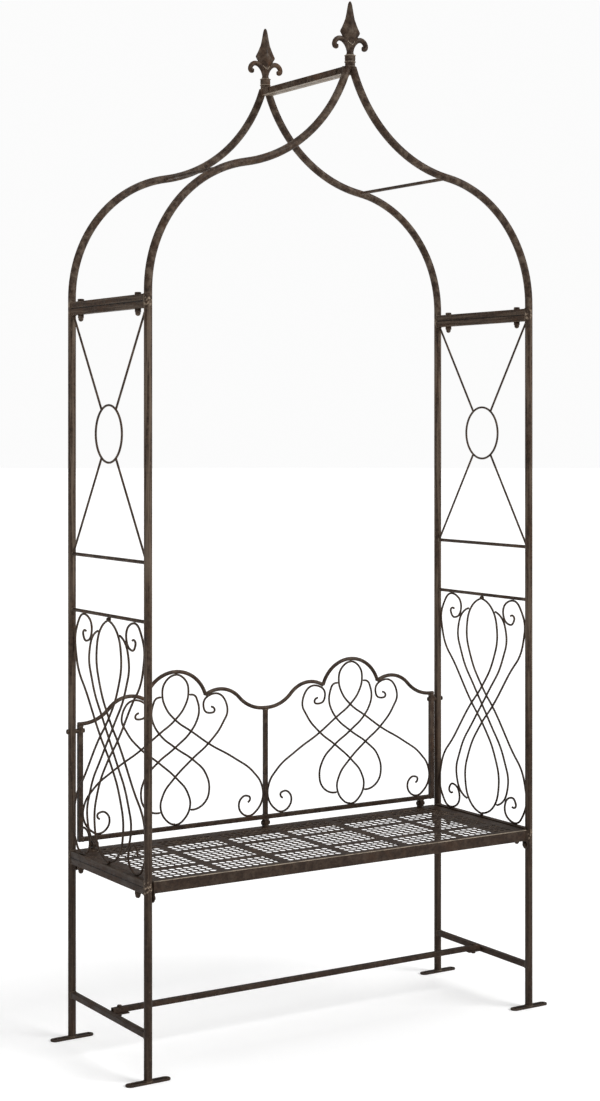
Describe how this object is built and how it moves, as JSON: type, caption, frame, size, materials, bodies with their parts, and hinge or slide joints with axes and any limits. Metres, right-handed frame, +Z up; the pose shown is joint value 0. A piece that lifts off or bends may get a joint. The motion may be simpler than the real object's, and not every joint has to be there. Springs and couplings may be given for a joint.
{
  "type": "garden arch bench",
  "caption": "Freestanding ogee garden arch in round tube with a perforated bench seat, scrollwork back and side panels, open lattice and cast finials.",
  "frame": {"origin": "on the ground, midway between the four posts", "axes": "+X to the right seen from the front, +Y towards the back, +Z up"},
  "size_m": [1.14, 0.391, 2.3601],
  "materials": {
    "tube": "dark brown-bronze paint over steel tube, satin, lightly rubbed",
    "bar": "dark brown-bronze paint over steel bar, satin, lightly rubbed",
    "wire": "dark brown-bronze paint over round wire",
    "sheet": "dark brown-bronze paint over perforated sheet",
    "fasteners": "overpainted hexagon bolts and cap nuts",
    "cast": "rust-brown painted casting"
  },
  "bodies": {
    "root": {"arch_base_beam_left": "bar", "arch_base_beam_right": "bar", "arch_cross_bars": "bar", "arch_tube_front_left": "tube", "arch_tube_front_right": "tube", "arch_tube_rear_left": "tube", "arch_tube_rear_right": "tube", "back_bottom_rail": "bar", "back_corner_bolts": "fasteners", "back_end_stiles": "bar", "back_pivot_tabs": "bar", "back_scrolls_left": "wire", "back_scrolls_right": "wire", "back_spacers": "bar", "back_stile_centre": "bar", "back_top_rail_left": "bar", "back_top_rail_right": "bar", "finial_front": "cast", "finial_rear": "cast", "foot_front_left": "bar", "foot_front_right": "bar", "foot_rear_left": "bar", "foot_rear_right": "bar", "lattice_bars": "bar", "lattice_rings": "wire", "lattice_rods": "wire", "leg_front_left": "tube", "leg_front_right": "tube", "leg_rear_left": "tube", "leg_rear_right": "tube", "leg_side_bars": "bar", "leg_top_beam_left": "bar", "leg_top_beam_right": "bar", "pivot_bolts": "fasteners", "post_front_left": "tube", "post_front_right": "tube", "post_rear_left": "tube", "post_rear_right": "tube", "ridge_bars": "bar", "ridge_bolts": "fasteners", "scroll_bars": "bar", "seat_braces": "bar", "seat_end_rails": "bar", "seat_long_rails": "bar", "seat_screws": "fasteners", "seat_sheet": "sheet", "seat_tabs": "bar", "side_bottom_beam_left": "bar", "side_bottom_beam_right": "bar", "side_scrolls_left": "wire", "side_scrolls_right": "wire", "side_top_beam_left": "bar", "side_top_beam_right": "bar", "small_nuts": "fasteners", "stack_bolts": "fasteners", "stack_cap_nuts": "fasteners", "stack_studs": "fasteners", "stretcher": "bar", "stretcher_bolts": "fasteners", "stretcher_tabs": "bar"}
  },
  "joints": []
}
